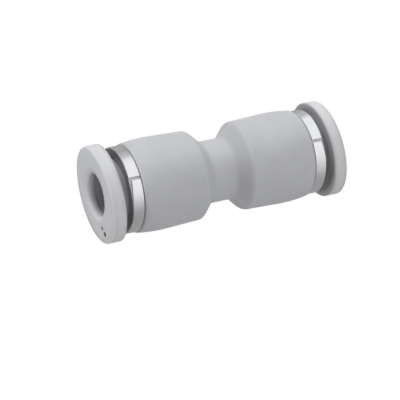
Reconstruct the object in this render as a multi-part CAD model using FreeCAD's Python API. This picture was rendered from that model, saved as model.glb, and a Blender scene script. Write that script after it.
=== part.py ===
import FreeCAD, Part
import math
import os

# Push-in straight union for 6 mm tube.
# The tube axis is Z. The part stands on its lower release button, whose face is at z = 0.
# Sizes are in millimetres and angles in degrees.

# Tube and bore
tube_radius = 3.0
bore_clearance = 0.10
socket_clearance = 0.05
tube_stop_width = 0.85

# Outside of the body
tube_stop_web = 2.48
waist_wall = 1.37
waist_length = 3.49
shoulder_slope = 45.0
chamber_draft = 0.20
belly_swell = 0.28
belly_from_end = 4.4
end_step = 0.17
shoulder_rounding = 0.60
waist_rounding = 0.30
end_rounding = 0.25

# Release button
button_long_overhang = 0.95
button_short_inset = 0.17
button_thickness = 1.96
button_face_rounding = 0.30
button_back_rounding = 0.10
button_mouth_rounding = 0.40
release_gap = 1.16
stop_clearance = 0.10
gate_mark_radius = 0.36
gate_mark_depth = 0.28
gate_mark_place = 5.59
gate_mark_angle = 14.0
witness_mark_radius = 0.28
witness_mark_depth = 0.14
witness_mark_place = 4.66
witness_mark_angle = 19.7
button_head_depth = 1.50
hub_wall = 0.45
hub_reach = 0.55

# Collet
collet_wall = 0.80
collet_slits = 4
collet_slit_width = 0.70
collet_slit_margin = 0.40
snap_height = 0.20
snap_length = 0.60
snap_from_head = 0.70
snap_clearance = 0.03
barb_hook = 0.40
barb_play = 0.05
barb_land = 0.50
barb_ramp = 1.00
nose_land = 0.35
nose_drop = 0.45
nose_taper = 0.80

# Guide ring
collar_height = 0.85
collar_width = 1.78
collar_chamfer = 0.12
guide_wall = 0.65
sliding_clearance = 0.15
mouth_clearance = 0.12
mouth_floor_gap = 0.20
lip_length = 0.80
chamber_length = 3.30
rib_height = 0.16
rib_length = 0.70
rib_count = 3
rib_from_collar = 0.90
rib_pitch = 1.10
notch_width = 0.45
notch_depth = 0.30
notch_angle = -10.8
seam_step = 0.40
seam_step_depth = 0.30
seam_step_length = 3.4
joint_gap = 0.10
joint_gap_depth = 0.40

# Claw
claw_thickness = 0.25
claw_bite = 0.12
claw_rise = 1.30
claw_rim_inset = 0.20
claw_fingers = 8
claw_slit_width = 0.45
claw_slit_root = 0.30

# Spacer
fit_gap = 0.03
spacer_wall = 0.65
spacer_cup_depth = 1.85
spacer_floor = 0.60
spacer_bore_clearance = 0.20

# How far the blocks that cut slits reach past what they cut
cut_past = 1.0

# Seal and tube socket
seal_shelf = 0.50
seal_length = 1.90
seal_squeeze = 0.10
seal_web = 0.80
seal_lip_thickness = 0.45
seal_groove_depth = 1.00
socket_length = 3.20
socket_chamfer = 0.25

# Radii that follow from the sizes above
bore_radius = tube_radius + bore_clearance
socket_radius = tube_radius + socket_clearance
passage_radius = socket_radius - tube_stop_width
waist_radius = socket_radius + waist_wall
collet_radius = bore_radius + collet_wall
snap_radius = collet_radius + snap_height
hub_radius = snap_radius + snap_clearance + hub_wall
mouth_radius = hub_radius + mouth_clearance
lip_radius = collet_radius + sliding_clearance
barb_radius = lip_radius + barb_hook
chamber_radius = barb_radius + sliding_clearance
barrel_radius = chamber_radius + guide_wall
collar_radius = barrel_radius + collar_height
body_end_radius = collar_radius + end_step
belly_radius = body_end_radius + belly_swell
shoulder_radius = belly_radius - chamber_draft
button_long_radius = collar_radius + button_long_overhang
button_short_radius = collar_radius - button_short_inset
claw_root_radius = chamber_radius - claw_rim_inset
claw_tip_radius = tube_radius - claw_bite
spacer_radius = barrel_radius - fit_gap
seal_radius = barrel_radius - seal_shelf
seal_lip_radius = tube_radius - seal_squeeze

# Depths of one end, measured inwards from the face of its button
flange_back = button_thickness
collar_front = flange_back + release_gap
collar_back = collar_front + collar_width
travel = release_gap - stop_clearance
hub_end = collar_front + hub_reach
mouth_floor = hub_end + travel + mouth_floor_gap
lip_back = mouth_floor + lip_length
barb_face = lip_back + barb_play
barb_top = barb_face + barb_land
barb_foot = barb_top + barb_ramp
guide_end = lip_back + chamber_length
nose_end = guide_end + nose_land
nose_start = nose_end - nose_taper
claw_back = guide_end + claw_thickness
spacer_floor_front = claw_back + spacer_cup_depth
spacer_end = spacer_floor_front + spacer_floor
seal_end = spacer_end + seal_length
socket_end = seal_end + socket_length
body_length = 2 * (socket_end - collar_back) + tube_stop_web
overall_length = body_length + 2 * collar_back

ORIGIN = FreeCAD.Vector(0, 0, 0)
Z_AXIS = FreeCAD.Vector(0, 0, 1)
Y_AXIS = FreeCAD.Vector(0, 1, 0)


def point(radius, depth):
    return FreeCAD.Vector(radius, 0, depth)


def turned(corners):
    # A closed profile of (radius, depth) corners, turned round the tube axis.
    vectors = [point(radius, depth) for radius, depth in corners]
    wire = Part.makePolygon(vectors + vectors[:1])
    return Part.Face(wire).revolve(ORIGIN, Z_AXIS, 360)


def turned_wire(edges):
    return Part.Face(Part.Wire(edges)).revolve(ORIGIN, Z_AXIS, 360)


def tube(inner, outer, start, end):
    return turned([(inner, start), (outer, start), (outer, end), (inner, end)])


def drilled(radius, start, end):
    return Part.makeCylinder(radius, end - start, FreeCAD.Vector(0, 0, start))


def ring_edges(shape, radius, depth):
    # The full round edges of a given radius at a given depth.
    found = []
    for edge in shape.Edges:
        curve = edge.Curve
        if not isinstance(curve, Part.Circle):
            continue
        same_size = abs(curve.Radius - radius) < 1e-4
        same_depth = abs(curve.Center.z - depth) < 1e-4
        if same_size and same_depth:
            found.append(edge)
    return found


def spokes(count, inner, outer, width, start, end, first_angle):
    # Radial blocks, evenly spaced round the axis, that cut slits.
    block = Part.makeBox(outer - inner, width, end - start)
    block.translate(FreeCAD.Vector(inner, -width / 2, start))
    copies = []
    for index in range(count):
        copy = block.copy()
        copy.rotate(ORIGIN, Z_AXIS, first_angle + index * 360 / count)
        copies.append(copy)
    return copies


def body_outline():
    # One half of the outside, from the waist's middle out to the end of the chamber.
    half = body_length / 2
    cone_start = waist_length / 2
    cone_length = (shoulder_radius - waist_radius) / math.tan(math.radians(shoulder_slope))
    shoulder = point(shoulder_radius, cone_start + cone_length)
    belly = point(belly_radius, half - belly_from_end)
    end = point(body_end_radius, half)
    draft = (belly - shoulder).normalize()
    chord = end - belly
    half_turn = draft.getAngle(chord)
    radius = chord.Length / (2 * math.sin(half_turn))
    sagitta = radius * (1 - math.cos(half_turn))
    outward = FreeCAD.Vector(chord.z, 0, -chord.x).normalize()
    crest = belly + chord * 0.5 + outward * sagitta
    return [
        Part.LineSegment(point(waist_radius, 0), point(waist_radius, cone_start)),
        Part.LineSegment(point(waist_radius, cone_start), shoulder),
        Part.LineSegment(shoulder, belly),
        Part.Arc(belly, crest, end),
        Part.LineSegment(end, point(0, half)),
        Part.LineSegment(point(0, half), ORIGIN),
        Part.LineSegment(ORIGIN, point(waist_radius, 0)),
    ]


def body_blank():
    # The moulded outside: two chambers, two cones and the waist, with their corners rounded.
    half = turned_wire([curve.toShape() for curve in body_outline()])
    other = half.copy()
    other.rotate(ORIGIN, Y_AXIS, 180)
    blank = half.fuse(other).removeSplitter()
    cone_start = waist_length / 2
    cone_length = (shoulder_radius - waist_radius) / math.tan(math.radians(shoulder_slope))
    corners = []
    for side in (-1, 1):
        corners += ring_edges(blank, shoulder_radius, side * (cone_start + cone_length))
    blank = blank.makeFillet(shoulder_rounding, corners)
    feet = []
    for side in (-1, 1):
        feet += ring_edges(blank, waist_radius, side * cone_start)
    blank = blank.makeFillet(waist_rounding, feet)
    rims = []
    for side in (-1, 1):
        rims += ring_edges(blank, body_end_radius, side * body_length / 2)
    blank = blank.makeFillet(end_rounding, rims)
    blank.translate(FreeCAD.Vector(0, 0, overall_length / 2))
    return blank


def end_cavity():
    # What one end of the body is bored out to: insert, spacer, seal and tube socket.
    room = tube(0, barrel_radius, collar_back, spacer_end)
    room = room.fuse(tube(0, seal_radius, spacer_end, seal_end))
    socket = turned([
        (0, seal_end),
        (socket_radius + socket_chamfer, seal_end),
        (socket_radius, seal_end + socket_chamfer),
        (socket_radius, socket_end),
        (0, socket_end),
    ])
    room = room.fuse(socket)
    for ridge in guide_ribs():
        room = room.fuse(ridge)
    return room


def body():
    shape = body_blank()
    for top in (False, True):
        shape = shape.cut(placed(end_cavity(), top))
    passage = drilled(passage_radius, socket_end, overall_length - socket_end)
    return shape.cut(passage)


def guide_ribs():
    # Saw-tooth ribs that hold the insert in the plastic: steep towards the mouth.
    ribs = []
    for index in range(rib_count):
        start = collar_back + rib_from_collar + index * rib_pitch
        ribs.append(turned([
            (chamber_radius + guide_wall / 2, start),
            (barrel_radius + rib_height, start),
            (barrel_radius, start + rib_length),
            (chamber_radius + guide_wall / 2, start + rib_length),
        ]))
    return ribs


def seam_step_cut(top):
    # From the notch on, the collar's front edge starts set back and slants out to full width.
    # Both ends slant the same way round, so one is the other's mirror image.
    away = seam_step_length if top else -seam_step_length
    outside = collar_radius + cut_past
    corners = [
        point(0, collar_front - cut_past),
        point(0, collar_front + seam_step),
        point(away, collar_front),
        point(away, collar_front - cut_past),
    ]
    slant = Part.Face(Part.makePolygon(corners + corners[:1])).extrude(FreeCAD.Vector(0, -outside, 0))
    edge = tube(collar_radius - seam_step_depth, outside, collar_front - cut_past, collar_front + seam_step)
    return edge.common(slant)


def guide_ring(top):
    # Metal insert: the bright collar outside, a ribbed barrel inside and the lip that stops the collet.
    joint = collar_back - joint_gap
    shape = turned([
        (mouth_radius + collar_chamfer, collar_front),
        (collar_radius - collar_chamfer, collar_front),
        (collar_radius, collar_front + collar_chamfer),
        (collar_radius, joint - collar_chamfer / 2),
        (collar_radius - collar_chamfer / 2, joint),
        (collar_radius - joint_gap_depth, joint),
        (collar_radius - joint_gap_depth, collar_back),
        (barrel_radius, collar_back),
        (barrel_radius, guide_end),
        (chamber_radius, guide_end),
        (chamber_radius, lip_back),
        (lip_radius, lip_back),
        (lip_radius, mouth_floor),
        (mouth_radius, mouth_floor),
        (mouth_radius, collar_front + collar_chamfer),
    ])
    for ridge in guide_ribs():
        shape = shape.fuse(ridge)
    notch = spokes(1, collar_radius - notch_depth, collar_radius + notch_depth, notch_width,
                   collar_front - notch_depth, collar_back + notch_depth, -90)
    shape = shape.cut(notch)
    return shape.cut(seam_step_cut(top)).removeSplitter()


def dimple(radius, depth, place, angle):
    # A small round mark in the button's face, place being its distance from the axis.
    mark = drilled(radius, 0, depth)
    mark.translate(FreeCAD.Vector(place, 0, 0))
    mark.rotate(ORIGIN, Z_AXIS, angle)
    return mark


def release_button():
    # Oval push button with a hub behind it that takes the collet's head.
    ellipse = Part.Ellipse(ORIGIN, button_long_radius, button_short_radius)
    plate = Part.Face(Part.Wire(ellipse.toShape())).extrude(FreeCAD.Vector(0, 0, button_thickness))
    front = [edge for edge in plate.Edges if edge.BoundBox.ZMax < 1e-4]
    plate = plate.makeFillet(button_face_rounding, front)
    back = [edge for edge in plate.Edges if edge.BoundBox.ZMin > button_thickness - 1e-4]
    plate = plate.makeFillet(button_back_rounding, back)
    hub = drilled(hub_radius, flange_back - button_back_rounding, hub_end)
    shape = plate.fuse(hub).removeSplitter()
    snap_start = button_head_depth + snap_from_head
    socket = turned([
        (0, button_head_depth),
        (collet_radius + snap_clearance, button_head_depth),
        (collet_radius + snap_clearance, snap_start),
        (snap_radius + snap_clearance, snap_start),
        (snap_radius + snap_clearance, snap_start + snap_length),
        (collet_radius + snap_clearance, snap_start + snap_length),
        (collet_radius + snap_clearance, hub_end),
        (0, hub_end),
    ])
    shape = shape.cut(socket)
    shape = shape.cut(drilled(bore_radius, 0, button_head_depth))
    shape = shape.makeFillet(button_mouth_rounding, ring_edges(shape, bore_radius, 0))
    shape = shape.cut(dimple(gate_mark_radius, gate_mark_depth, gate_mark_place, gate_mark_angle))
    return shape.cut(dimple(witness_mark_radius, witness_mark_depth, witness_mark_place, witness_mark_angle))


def collet():
    # Sleeve whose inner end is slit into tongues: the head snaps into the button,
    # the barbs catch behind the guide ring's lip and the nose opens the claw.
    snap_start = button_head_depth + snap_from_head
    shape = turned([
        (bore_radius, button_head_depth),
        (collet_radius, button_head_depth),
        (collet_radius, snap_start + snap_clearance),
        (snap_radius, snap_start + snap_clearance),
        (collet_radius, snap_start + snap_length),
        (collet_radius, barb_face),
        (barb_radius, barb_face),
        (barb_radius, barb_top),
        (collet_radius, barb_foot),
        (collet_radius, nose_start),
        (collet_radius - nose_drop, nose_end),
        (bore_radius, nose_end),
    ])
    slit_start = hub_end + collet_slit_margin
    slits = spokes(collet_slits, passage_radius, barb_radius + cut_past, collet_slit_width,
                   slit_start, nose_end + cut_past, 180 / collet_slits)
    return shape.cut(slits)


def claw():
    # Spring ring: a flat rim and a cone of toothed fingers that lean inwards along the tube's way in.
    slope = claw_rise / (claw_root_radius - claw_tip_radius)
    lean = claw_thickness * math.sqrt(1 + slope * slope)
    shape = turned([
        (spacer_radius, guide_end),
        (claw_root_radius, guide_end),
        (claw_tip_radius, guide_end + claw_rise),
        (claw_tip_radius, guide_end + claw_rise + lean / 2),
        (claw_tip_radius + claw_thickness / 2, guide_end + claw_rise + lean),
        (claw_root_radius - claw_thickness / 2, claw_back),
        (spacer_radius, claw_back),
    ])
    slits = spokes(claw_fingers, passage_radius, claw_root_radius - claw_slit_root, claw_slit_width,
                   guide_end - cut_past, claw_back + claw_rise + cut_past, 180 / claw_fingers)
    return shape.cut(slits)


def spacer():
    # Cup ring: its wall holds the claw's rim against the guide ring, its floor backs the seal.
    spacer_bore = tube_radius + spacer_bore_clearance
    return turned([
        (spacer_radius - spacer_wall, claw_back),
        (spacer_radius, claw_back),
        (spacer_radius, spacer_end),
        (spacer_bore, spacer_end),
        (spacer_bore, spacer_floor_front),
        (spacer_radius - spacer_wall, spacer_floor_front),
    ])


def seal():
    # Lip seal: an outer ring on a web, and a lip that leans on the tube, open to the pressure side.
    lip_foot = seal_lip_radius + seal_squeeze * 2
    return turned([
        (seal_radius - fit_gap, spacer_end),
        (seal_radius - fit_gap, seal_end),
        (seal_radius - fit_gap - seal_web, seal_end),
        (seal_radius - fit_gap - seal_web, seal_end - seal_groove_depth),
        (seal_lip_radius + seal_lip_thickness, seal_end - seal_lip_thickness / 2),
        (seal_lip_radius, seal_end - seal_lip_thickness),
        (lip_foot, spacer_end),
    ])


def placed(shape, top, turn=0.0):
    # The lower end is modelled where it stands; the upper end is the same piece turned over.
    result = shape.copy()
    if top:
        result.translate(FreeCAD.Vector(0, 0, -overall_length / 2))
        result.rotate(ORIGIN, Y_AXIS, 180)
        result.translate(FreeCAD.Vector(0, 0, overall_length / 2))
    result.rotate(ORIGIN, Z_AXIS, turn)
    return result


def pieces():
    made = {"body": body()}
    for end, top in (("bottom", False), ("top", True)):
        made[end + "_release_button"] = placed(release_button(), top)
        made[end + "_collet"] = placed(collet(), top)
        made[end + "_guide_ring"] = placed(guide_ring(top), top, notch_angle)
        made[end + "_claw"] = placed(claw(), top)
        made[end + "_spacer"] = placed(spacer(), top)
        made[end + "_seal"] = placed(seal(), top)
    return made


def main():
    os.makedirs("parts", exist_ok=True)
    for name, shape in pieces().items():
        shape.exportStep("parts/" + name + ".step")
        print(name, "solids", len(shape.Solids), "volume", round(shape.Volume, 2), "valid", shape.isValid())
    print("overall length", round(overall_length, 3), "travel", round(travel, 3))


main()
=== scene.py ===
import math

import bmesh
import bpy
from mathutils import Matrix, Vector


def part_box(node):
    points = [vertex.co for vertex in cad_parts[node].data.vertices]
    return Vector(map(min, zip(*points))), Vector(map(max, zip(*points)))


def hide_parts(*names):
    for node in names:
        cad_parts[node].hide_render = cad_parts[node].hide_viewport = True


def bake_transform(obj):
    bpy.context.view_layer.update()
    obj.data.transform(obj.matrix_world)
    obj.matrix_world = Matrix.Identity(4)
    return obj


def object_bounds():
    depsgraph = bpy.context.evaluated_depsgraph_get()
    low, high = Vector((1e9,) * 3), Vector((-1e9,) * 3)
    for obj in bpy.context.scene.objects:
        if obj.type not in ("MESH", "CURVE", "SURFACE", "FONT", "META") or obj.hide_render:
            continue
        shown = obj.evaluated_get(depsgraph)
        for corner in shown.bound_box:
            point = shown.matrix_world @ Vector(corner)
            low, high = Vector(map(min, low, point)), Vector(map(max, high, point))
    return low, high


# Push-in straight tube union, standing on its lower release button, with its tube axis along Z.
# Sizes of the object are in millimetres and angles in degrees. Blender works in metres.
MM = 0.001

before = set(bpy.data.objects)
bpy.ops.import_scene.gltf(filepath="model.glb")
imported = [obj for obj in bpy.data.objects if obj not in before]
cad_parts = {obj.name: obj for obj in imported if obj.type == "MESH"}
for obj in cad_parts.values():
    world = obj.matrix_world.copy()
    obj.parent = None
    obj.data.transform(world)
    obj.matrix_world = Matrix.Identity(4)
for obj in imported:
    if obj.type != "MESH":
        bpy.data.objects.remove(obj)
cad_low, cad_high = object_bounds()
centre = (cad_low + cad_high) / 2

# The photograph is square. The union lies in it on its side, its top end to the left.
PHOTO_SIZE = 400
OBJECT_CENTRE_PX = (212.96, 170.63)
FOCAL_PX = 1843.6
CAMERA_AZIMUTH = -21.8
CAMERA_ELEVATION = 23.55
CAMERA_ROLL = -11.815
CAMERA_DISTANCE = 0.260
SENSOR_MM = 36.0

# Round soft boxes: turn from the camera's side, height over the floor, width in metres, and the
# share of full exposure that each gives a surface that faces it
LIGHT_DISTANCE = 0.45
LIGHTS = {
    "key": (86, 8, 0.30, 0.96),
    "front": (-28, 8, 0.30, 0.37),
    "end": (0, 88, 0.08, 0.33),
    "back": (-150, 8, 0.30, 0.25),
}
AMBIENT = 0.20

# What reflections see of the floor and the world: brightest towards BRIGHT_SIDE_TURN, and greyed
# by a strip towards STRIP_TURN. Each range gives two cosines from that turn, and the strength at
# each of them.
BRIGHT_SIDE_TURN = 40
BRIGHT_SIDE_RANGE = (-0.45, 0.85, 0.38, 1.05)
STRIP_TURN = 106
STRIP_RANGE = (0.88, 0.955, 1.0, 0.60)

# Floor
FLOOR_SIZE = 3.0
FLOOR_TONE = 0.80
FLOOR_SHADOW_SHARE = 0.12
FLOOR_GLOW = 1.05

# Plastics: display tone, roughness, and the radius over which light rolls round their edges
PLASTICS = {
    "union_plastic": ((192, 193, 197), 0.42, 0.80),
    "button_plastic": ((212, 213, 216), 0.38, 1.50),
    "collet_plastic": ((188, 189, 193), 0.40, 0.05),
    "spacer_plastic": ((224, 223, 216), 0.45, 0.80),
}

# Moulded surface: how wide its clouds, worn specks, changes of sheen, waves and grains are, how
# deep the last two are, and the width of a worn edge
MOULD_CLOUD = 2.6
MOULD_SPECK = 0.35
MOULD_SHEEN = 0.6
MOULD_WAVE = 3.5
MOULD_WAVE_DEPTH = 0.010
MOULD_GRAIN = 0.10
MOULD_GRAIN_DEPTH = 0.0015
WORN_EDGE = 0.08

# Painted shade in the plastics' crevices: how far it reaches, how open and closed the crevices are
# where the shade starts and is full, and how dark it gets
CREVICE_REACH = 1.0
CREVICE_RANGE = (0.3, 0.9)
CREVICE_SHADE = 0.6

# Release button's plate, as in part.py, and how dark painted shade makes its back and then its neck.
# The ranges say how far behind the plate's back the shade is full, and where it starts. A minus
# sign means that the place is in front of the back, on the plate's rim.
BUTTON_THICKNESS = 1.96
GAP_RANGE = (-0.01, -0.10)
GAP_SHADE = 0.62
NECK_RANGE = (0.30, 0.05)
NECK_SHADE = 0.74

# Guide ring: how far under its outside the recesses get painted shade, and where that starts
RECESS_RANGE = (0.14, 0.05)
RECESS_SHADE = 0.55
TURNED_LINE_DEPTH = 0.0012
RING_EDGE_SOFTNESS = 0.05

# Claw: a flat rim and a cone of fingers, repeated from part.py.
CLAW_THICKNESS = 0.25
CLAW_RIM_RADIUS = 5.22
CLAW_ROOT_RADIUS = 4.40
CLAW_TIP_RADIUS = 2.88
CLAW_RISE = 1.30
CLAW_FINGERS = 8
CLAW_SLIT_WIDTH = 0.45
CLAW_SLIT_ROOT = 0.30
CLAW_SLIT_FLARE = 0.05
CLAW_STEPS_ACROSS = 6
CLAW_STEPS_ALONG = 7
CLAW_SLIT_STATION = 2
CLAW_WELD = 0.001
CLAW_CREASE_ANGLE = 25

# A Mix node's sockets for colours
MIX_FIRST = 6
MIX_SECOND = 7
MIX_RESULT = 2


def srgb(value):
    # A display value from 0 to 255 as scene light.
    share = value / 255
    if share <= 0.04045:
        return share / 12.92
    return ((share + 0.055) / 1.055) ** 2.4


def colour(red, green, blue):
    return (srgb(red), srgb(green), srgb(blue), 1.0)


# Camera

def camera_axes():
    # The camera's right, up and backward directions when it looks straight at the union's centre.
    azimuth = math.radians(CAMERA_AZIMUTH)
    elevation = math.radians(CAMERA_ELEVATION)
    back = Vector((
        math.sin(azimuth) * math.cos(elevation),
        -math.cos(azimuth) * math.cos(elevation),
        math.sin(elevation),
    ))
    axis = Vector((0, 0, 1))
    right = -(axis - back * axis.dot(back)).normalized()
    up = back.cross(right)
    roll = Matrix.Rotation(math.radians(CAMERA_ROLL), 3, back)
    return roll @ right, roll @ up, back


def make_camera():
    # Aimed so that the union's centre falls on its own pixel in the photograph.
    right, up, back = camera_axes()
    offset_x = (OBJECT_CENTRE_PX[0] - PHOTO_SIZE / 2) / FOCAL_PX
    offset_y = (PHOTO_SIZE / 2 - OBJECT_CENTRE_PX[1]) / FOCAL_PX
    towards = Vector((offset_x, offset_y, -1)).normalized()
    aim = Vector((0, 0, -1)).rotation_difference(towards).to_matrix()
    basis = Matrix((right, up, back)).transposed() @ aim.transposed()
    data = bpy.data.cameras.new("camera")
    data.sensor_width = SENSOR_MM
    data.lens = FOCAL_PX * SENSOR_MM / PHOTO_SIZE
    data.clip_start = 0.01
    data.clip_end = 10.0
    camera = bpy.data.objects.new("camera", data)
    bpy.context.scene.collection.objects.link(camera)
    camera.matrix_world = Matrix.Translation(centre + back * CAMERA_DISTANCE) @ basis.to_4x4()
    bpy.context.scene.camera = camera


# Materials

class Shader:
    """A new material with its Principled BSDF and short ways to add nodes and links."""

    def __init__(self, name):
        self.material = bpy.data.materials.new(name)
        self.material.use_nodes = True
        self.nodes = self.material.node_tree.nodes
        self.links = self.material.node_tree.links
        self.principled = self.nodes["Principled BSDF"]
        self.place = self.add("TexCoord").outputs["Object"]

    def add(self, kind, values=None, **settings):
        made = self.nodes.new("ShaderNode" + kind)
        for name, value in settings.items():
            setattr(made, name, value)
        for name, value in (values or {}).items():
            made.inputs[name].default_value = value
        return made

    def join(self, output, socket):
        self.links.new(output, socket)

    def set(self, **values):
        for name, value in values.items():
            self.principled.inputs[name.replace("_", " ")].default_value = value

    def noise(self, size_mm, detail=2.0, stretch=(1.0, 1.0, 1.0)):
        # Noise whose grains are about size_mm wide, from 0 to 1.
        scaled = self.add("Mapping", {"Scale": stretch})
        self.join(self.place, scaled.inputs["Vector"])
        made = self.add("TexNoise", {"Scale": 1 / (size_mm * MM), "Detail": detail, "Roughness": 0.55})
        self.join(scaled.outputs["Vector"], made.inputs["Vector"])
        return made.outputs["Fac"]

    def ramp(self, output, source, target):
        # A value's range source, brought to run over the range target, and held at its ends.
        made = self.add("MapRange", {"From Min": source[0], "From Max": source[1],
                                     "To Min": target[0], "To Max": target[1]})
        self.join(output, made.inputs["Value"])
        return made.outputs["Result"]

    def spread(self, output, low, high):
        # The middle of a noise's range, brought to run from low to high.
        return self.ramp(output, (0.3, 0.7), (low, high))

    def times(self, first, second):
        made = self.add("Math", operation="MULTIPLY")
        self.join(first, made.inputs[0])
        self.join(second, made.inputs[1])
        return made.outputs["Value"]

    def between(self, factor, low, high):
        # A colour between two others.
        made = self.add("Mix", data_type="RGBA")
        self.join(factor, made.inputs[0])
        made.inputs[MIX_FIRST].default_value = low
        made.inputs[MIX_SECOND].default_value = high
        return made.outputs[MIX_RESULT]

    def bump(self, height, depth_mm, under=None):
        made = self.add("Bump", {"Strength": 1.0, "Distance": depth_mm * MM})
        self.join(height, made.inputs["Height"])
        if under is not None:
            self.join(under, made.inputs["Normal"])
        return made.outputs["Normal"]

    def crevice_painted_shade(self):
        # Painted shade: 1 in the open, falling to CREVICE_SHADE in the piece's own narrow hollows.
        near = self.add("AmbientOcclusion", {"Distance": CREVICE_REACH * MM}, samples=8, only_local=True)
        return self.ramp(near.outputs["AO"], CREVICE_RANGE, (CREVICE_SHADE, 1.0))

    def from_middle(self):
        # Distance along the tube axis from the union's middle, in metres.
        parts = self.add("SeparateXYZ")
        self.join(self.place, parts.inputs["Vector"])
        shifted = self.add("Math", {1: centre.z}, operation="SUBTRACT")
        self.join(parts.outputs["Z"], shifted.inputs[0])
        made = self.add("Math", operation="ABSOLUTE")
        self.join(shifted.outputs["Value"], made.inputs[0])
        return made.outputs["Value"]

    def from_axis(self):
        # Distance from the tube axis, in metres.
        flat = self.add("VectorMath", {1: (1, 1, 0)}, operation="MULTIPLY")
        self.join(self.place, flat.inputs[0])
        made = self.add("VectorMath", operation="LENGTH")
        self.join(flat.outputs["Vector"], made.inputs[0])
        return made.outputs["Value"]

    def darken(self, output, *factors):
        # A colour multiplied by each of the factors.
        for factor in factors:
            made = self.add("VectorMath", operation="SCALE")
            self.join(output, made.inputs[0])
            self.join(factor, made.inputs["Scale"])
            output = made.outputs["Vector"]
        return output

    def edges(self, radius_mm):
        # 0 on smooth faces, rising to 1 where the surface turns sharply.
        soft = self.add("Bevel", {"Radius": radius_mm * MM}, samples=4)
        sharp = self.add("NewGeometry").outputs["Normal"]
        both = self.add("VectorMath", operation="DOT_PRODUCT")
        self.join(soft.outputs["Normal"], both.inputs[0])
        self.join(sharp, both.inputs[1])
        return self.ramp(both.outputs["Value"], (1.0, 0.85), (0.0, 1.0))


def moulded_plastic(name, button=False):
    # Satin moulded plastic: faint clouds in the colour, fine spark-eroded grain, slow waviness,
    # edges that handling has polished a little lighter, and painted shade that greys the crevices.
    # On a button painted shade also greys what lies behind its plate.
    shader = Shader(name)
    tone, gloss, softness = PLASTICS[name]
    red, green, blue = tone
    clouds = shader.spread(shader.noise(MOULD_CLOUD, 3.0), 0.0, 1.0)
    base = shader.between(clouds, colour(red - 2, green - 2, blue - 2), colour(red + 2, green + 2, blue + 1))
    worn = shader.add("Mix", data_type="RGBA")
    worn.inputs[MIX_SECOND].default_value = colour(red + 14, green + 14, blue + 13)
    specks = shader.spread(shader.noise(MOULD_SPECK, 4.0), 0.1, 0.6)
    shader.join(shader.times(shader.edges(WORN_EDGE), specks), worn.inputs[0])
    shader.join(base, worn.inputs[MIX_FIRST])
    # Painted shade darkens the colour in the crevices, and on a button behind its plate.
    painted_shades = [shader.crevice_painted_shade()]
    if button:
        # Distances from the union's middle, which both buttons' faces lie centre.z away from.
        plate_back = centre.z - BUTTON_THICKNESS * MM
        gap = [plate_back - depth * MM for depth in GAP_RANGE]
        neck = [plate_back - depth * MM for depth in NECK_RANGE]
        along = shader.from_middle()
        # Painted shade behind the plate: on its back, and darker on its neck.
        painted_shades.append(shader.ramp(along, gap, (GAP_SHADE, 1.0)))
        painted_shades.append(shader.ramp(along, neck, (NECK_SHADE, 1.0)))
    shader.join(shader.darken(worn.outputs[MIX_RESULT], *painted_shades), shader.principled.inputs["Base Color"])
    sheen = shader.spread(shader.noise(MOULD_SHEEN, 4.0), gloss - 0.05, gloss + 0.05)
    shader.join(sheen, shader.principled.inputs["Roughness"])
    soft = shader.add("Bevel", {"Radius": softness * MM}, samples=8)
    waves = shader.bump(shader.noise(MOULD_WAVE, 1.0), MOULD_WAVE_DEPTH, soft.outputs["Normal"])
    grain = shader.bump(shader.noise(MOULD_GRAIN, 2.0), MOULD_GRAIN_DEPTH, waves)
    shader.join(grain, shader.principled.inputs["Normal"])
    return shader.material


def nickel_plate():
    # Plated brass: bright, with fine turning lines that run round the axis, and painted shade that
    # darkens it where the ring's notch and front lie back from its bright outside.
    shader = Shader("nickel_plate")
    shader.set(Metallic=1.0)
    clouds = shader.spread(shader.noise(size_mm=1.2, detail=3.0), 0.0, 1.0)
    bright = shader.between(clouds, colour(226, 227, 229), colour(234, 235, 237))
    # Painted shade where the notch and the front lie back from the ring's outside.
    ring_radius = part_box("top_guide_ring")[1][0]
    recess = [ring_radius - depth * MM for depth in RECESS_RANGE]
    recess_painted_shade = shader.ramp(shader.from_axis(), recess, (RECESS_SHADE, 1.0))
    shader.join(shader.darken(bright, recess_painted_shade), shader.principled.inputs["Base Color"])
    lines = shader.noise(size_mm=0.5, detail=3.0, stretch=(0.35, 0.35, 14.0))
    shader.join(shader.spread(lines, 0.20, 0.32), shader.principled.inputs["Roughness"])
    soft = shader.add("Bevel", {"Radius": RING_EDGE_SOFTNESS * MM}, samples=4)
    shader.join(shader.bump(lines, TURNED_LINE_DEPTH, soft.outputs["Normal"]),
                shader.principled.inputs["Normal"])
    return shader.material


def spring_steel():
    # Rolled stainless strip: fine lines along one way, slightly warm.
    shader = Shader("spring_steel")
    shader.set(Metallic=1.0)
    rolled = shader.noise(size_mm=0.6, detail=3.0, stretch=(0.3, 12.0, 0.3))
    bright = shader.between(shader.spread(rolled, 0.0, 1.0), colour(176, 174, 170), colour(200, 198, 194))
    shader.join(bright, shader.principled.inputs["Base Color"])
    shader.join(shader.spread(rolled, 0.24, 0.38), shader.principled.inputs["Roughness"])
    shader.join(shader.bump(rolled, depth_mm=0.0012), shader.principled.inputs["Normal"])
    return shader.material


def seal_rubber():
    # Black nitrile with a fine matt grain and a little bloom.
    shader = Shader("seal_rubber")
    bloom = shader.spread(shader.noise(size_mm=0.9, detail=4.0), 0.0, 1.0)
    shader.join(shader.between(bloom, colour(26, 26, 27), colour(44, 44, 45)),
                shader.principled.inputs["Base Color"])
    sheen = shader.spread(shader.noise(size_mm=0.5, detail=3.0), 0.50, 0.66)
    shader.join(sheen, shader.principled.inputs["Roughness"])
    grain = shader.bump(shader.noise(size_mm=0.08, detail=3.0), depth_mm=0.004)
    shader.join(grain, shader.principled.inputs["Normal"])
    return shader.material


def dress(node, material):
    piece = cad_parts[node]
    piece.data.materials.clear()
    piece.data.materials.append(material)
    for polygon in piece.data.polygons:
        polygon.material_index = 0


# Claws

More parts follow.
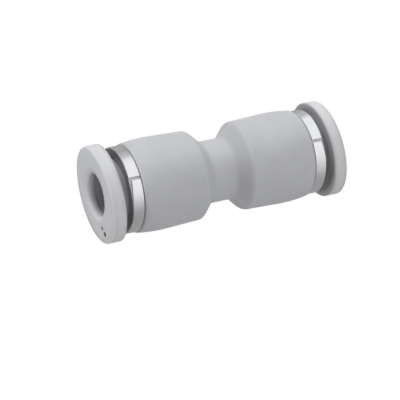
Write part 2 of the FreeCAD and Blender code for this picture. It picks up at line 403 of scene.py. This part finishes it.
def claw_stations():
    # (radius, near height, far height, half the sector's angle), from the rim in to the fingers' tips.
    # The slits between the fingers start at the station with the index CLAW_SLIT_STATION.
    sector = math.pi / CLAW_FINGERS
    slope = CLAW_RISE / (CLAW_ROOT_RADIUS - CLAW_TIP_RADIUS)
    lean = CLAW_THICKNESS * math.sqrt(1 + slope * slope)
    slit_start = CLAW_ROOT_RADIUS - CLAW_SLIT_ROOT
    finger_start = slit_start - CLAW_SLIT_FLARE
    stations = [(CLAW_RIM_RADIUS, 0, CLAW_THICKNESS, sector), (CLAW_ROOT_RADIUS, 0, CLAW_THICKNESS, sector)]
    rise = (CLAW_ROOT_RADIUS - slit_start) * slope
    stations.append((slit_start, rise, rise + lean, sector))
    for step in range(CLAW_STEPS_ALONG + 1):
        radius = finger_start + (CLAW_TIP_RADIUS - finger_start) * step / CLAW_STEPS_ALONG
        rise = (CLAW_ROOT_RADIUS - radius) * slope
        stations.append((radius, rise, rise + lean, sector - math.asin(CLAW_SLIT_WIDTH / 2 / radius)))
    return stations


def claw_mesh(name, root, way):
    # way is 1 where the fingers rise along +Z and -1 where they rise along -Z.
    mesh = bmesh.new()
    stations = claw_stations()
    for finger in range(CLAW_FINGERS):
        middle = finger * 2 * math.pi / CLAW_FINGERS
        sides = []
        for far in (False, True):
            rows = []
            for radius, near_rise, far_rise, half in stations:
                height = root + way * (far_rise if far else near_rise) * MM
                row = []
                for step in range(CLAW_STEPS_ACROSS + 1):
                    angle = middle + half * (2 * step / CLAW_STEPS_ACROSS - 1)
                    place = (radius * MM * math.cos(angle), radius * MM * math.sin(angle), height)
                    row.append(mesh.verts.new(place))
                rows.append(row)
            for outer, inner in zip(rows, rows[1:]):
                for step in range(CLAW_STEPS_ACROSS):
                    mesh.faces.new((outer[step], outer[step + 1], inner[step + 1], inner[step]))
            sides.append(rows)
        near, far = sides
        for end in (0, -1):
            for step in range(CLAW_STEPS_ACROSS):
                mesh.faces.new((near[end][step], near[end][step + 1], far[end][step + 1], far[end][step]))
        for index in range(CLAW_SLIT_STATION, len(stations) - 1):
            for edge in (0, -1):
                mesh.faces.new((near[index][edge], near[index + 1][edge],
                                far[index + 1][edge], far[index][edge]))
    bmesh.ops.remove_doubles(mesh, verts=mesh.verts, dist=CLAW_WELD * MM)
    bmesh.ops.recalc_face_normals(mesh, faces=mesh.faces)
    data = bpy.data.meshes.new(name)
    mesh.to_mesh(data)
    mesh.free()
    data.shade_smooth()
    data.set_sharp_from_angle(angle=math.radians(CLAW_CREASE_ANGLE))
    return data


def make_claw(end, way, material):
    # The rim stays in the body.
    low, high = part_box(end + "_claw")
    root = low[2] if way > 0 else high[2]
    name = end + "_claw_fingers"
    data = claw_mesh(name, root, way)
    data.materials.append(material)
    claw = bpy.data.objects.new(name, data)
    bpy.context.scene.collection.objects.link(claw)
    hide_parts(end + "_claw")
    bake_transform(claw)


def dress_union():
    union_plastic = moulded_plastic("union_plastic")
    button_plastic = moulded_plastic("button_plastic", button=True)
    collet_plastic = moulded_plastic("collet_plastic")
    spacer_plastic = moulded_plastic("spacer_plastic")
    nickel = nickel_plate()
    steel = spring_steel()
    rubber = seal_rubber()
    dress("body", union_plastic)
    for end, way in (("bottom", 1), ("top", -1)):
        dress(end + "_release_button", button_plastic)
        dress(end + "_collet", collet_plastic)
        dress(end + "_guide_ring", nickel)
        dress(end + "_spacer", spacer_plastic)
        dress(end + "_seal", rubber)
        make_claw(end, way, steel)


# Floor, world and lights

def seen_share(nodes, links):
    # Two values: 1 for rays from the camera or through a clear piece, and 1 for reflections.
    # Both are 0 for the light that surfaces gather.
    path = nodes.new("ShaderNodeLightPath")
    larger = nodes.new("ShaderNodeMath")
    larger.operation = "MAXIMUM"
    links.new(path.outputs["Is Camera Ray"], larger.inputs[0])
    links.new(path.outputs["Is Transmission Ray"], larger.inputs[1])
    return larger.outputs["Value"], path.outputs["Is Glossy Ray"]


def toned_by_side(nodes, links, direction, turn, settings):
    # A value that follows the cosine between a level direction and the one at the given turn.
    angle = math.radians(CAMERA_AZIMUTH - 90 + turn)
    along = nodes.new("ShaderNodeVectorMath")
    along.operation = "DOT_PRODUCT"
    along.inputs[1].default_value = (math.cos(angle), math.sin(angle), 0)
    links.new(direction, along.inputs[0])
    tone = nodes.new("ShaderNodeMapRange")
    tone.interpolation_type = "SMOOTHSTEP"
    for name, value in zip(("From Min", "From Max", "To Min", "To Max"), settings):
        tone.inputs[name].default_value = value
    links.new(along.outputs["Value"], tone.inputs["Value"])
    return tone.outputs["Result"]


def reflected_tone(nodes, links, coordinate):
    # Reflections see the white sweep too: full on the side of the soft boxes, greyer on the far
    # side and in a strip over them. On the floor this is a painted reflection.
    place = nodes.new("ShaderNodeTexCoord")
    level = nodes.new("ShaderNodeVectorMath")
    level.operation = "MULTIPLY"
    level.inputs[1].default_value = (1, 1, 0)
    links.new(place.outputs[coordinate], level.inputs[0])
    length_one = nodes.new("ShaderNodeVectorMath")
    length_one.operation = "NORMALIZE"
    links.new(level.outputs["Vector"], length_one.inputs[0])
    direction = length_one.outputs["Vector"]
    both = nodes.new("ShaderNodeMath")
    both.operation = "MULTIPLY"
    links.new(toned_by_side(nodes, links, direction, BRIGHT_SIDE_TURN, BRIGHT_SIDE_RANGE), both.inputs[0])
    links.new(toned_by_side(nodes, links, direction, STRIP_TURN, STRIP_RANGE), both.inputs[1])
    return both.outputs["Value"]


def make_floor():
    half = FLOOR_SIZE / 2
    mesh = bpy.data.meshes.new("floor")
    corners = [(-half, -half, 0), (half, -half, 0), (half, half, 0), (-half, half, 0)]
    mesh.from_pydata(corners, [], [(0, 1, 2, 3)])
    floor = bpy.data.objects.new("floor", mesh)
    bpy.context.scene.collection.objects.link(floor)
    material = bpy.data.materials.new("floor_paper")
    material.use_nodes = True
    nodes, links = material.node_tree.nodes, material.node_tree.links
    nodes.clear()
    bounce = nodes.new("ShaderNodeBsdfDiffuse")
    bounce.inputs["Color"].default_value = (FLOOR_TONE, FLOOR_TONE, FLOOR_TONE, 1)
    paper = nodes.new("ShaderNodeBsdfDiffuse")
    paper.inputs["Color"].default_value = (1, 1, 1, 1)
    glow = nodes.new("ShaderNodeEmission")
    glow.inputs["Strength"].default_value = FLOOR_GLOW
    white = nodes.new("ShaderNodeMixShader")
    white.inputs["Fac"].default_value = FLOOR_SHADOW_SHARE
    links.new(glow.outputs["Emission"], white.inputs[1])
    links.new(paper.outputs["BSDF"], white.inputs[2])
    seen, glossy = seen_share(nodes, links)
    # Painted reflection: what reflections see of the floor is a glow, brighter on one side and greyed in a
    # strip.
    painted_reflection_glow = nodes.new("ShaderNodeEmission")
    links.new(reflected_tone(nodes, links, "Object"), painted_reflection_glow.inputs["Strength"])
    gathered = nodes.new("ShaderNodeMixShader")
    links.new(glossy, gathered.inputs["Fac"])
    links.new(bounce.outputs["BSDF"], gathered.inputs[1])
    links.new(painted_reflection_glow.outputs["Emission"], gathered.inputs[2])
    pick = nodes.new("ShaderNodeMixShader")
    links.new(seen, pick.inputs["Fac"])
    links.new(gathered.outputs["Shader"], pick.inputs[1])
    links.new(white.outputs["Shader"], pick.inputs[2])
    output = nodes.new("ShaderNodeOutputMaterial")
    links.new(pick.outputs["Shader"], output.inputs["Surface"])
    mesh.materials.append(material)


def make_world():
    # White where it is seen, and a plain soft light on everything else.
    world = bpy.data.worlds.new("studio")
    bpy.context.scene.world = world
    world.use_nodes = True
    nodes, links = world.node_tree.nodes, world.node_tree.links
    seen, glossy = seen_share(nodes, links)
    gathered = nodes.new("ShaderNodeMapRange")
    gathered.inputs["To Min"].default_value = AMBIENT
    links.new(glossy, gathered.inputs["Value"])
    links.new(reflected_tone(nodes, links, "Generated"), gathered.inputs["To Max"])
    strength = nodes.new("ShaderNodeMapRange")
    links.new(seen, strength.inputs["Value"])
    links.new(gathered.outputs["Result"], strength.inputs["To Min"])
    background = nodes["Background"]
    background.inputs["Color"].default_value = (1, 1, 1, 1)
    links.new(strength.outputs["Result"], background.inputs["Strength"])


def make_light(name, turn, height, size, share):
    # turn goes round the tube axis from the camera's side, towards the top of the photograph.
    # Reflections show the white sweep and not the lamps, which stand low and would glare.
    angle = math.radians(CAMERA_AZIMUTH - 90 + turn)
    rise = math.radians(height)
    away = Vector((math.cos(angle) * math.cos(rise), math.sin(angle) * math.cos(rise), math.sin(rise)))
    data = bpy.data.lights.new(name, "AREA")
    data.shape = "DISK"
    data.size = size
    # The power with which a lamp at that distance gives full exposure, times the lamp's share.
    data.energy = share * math.pi ** 2 * LIGHT_DISTANCE ** 2
    light = bpy.data.objects.new(name, data)
    bpy.context.scene.collection.objects.link(light)
    light.location = centre + away * LIGHT_DISTANCE
    light.rotation_euler = away.to_track_quat("Z", "Y").to_euler()
    light.visible_camera = False
    light.visible_glossy = False


make_camera()
dress_union()
make_floor()
make_world()
for light_name, settings in LIGHTS.items():
    make_light(light_name, *settings)
bpy.context.scene.view_settings.view_transform = "Standard"
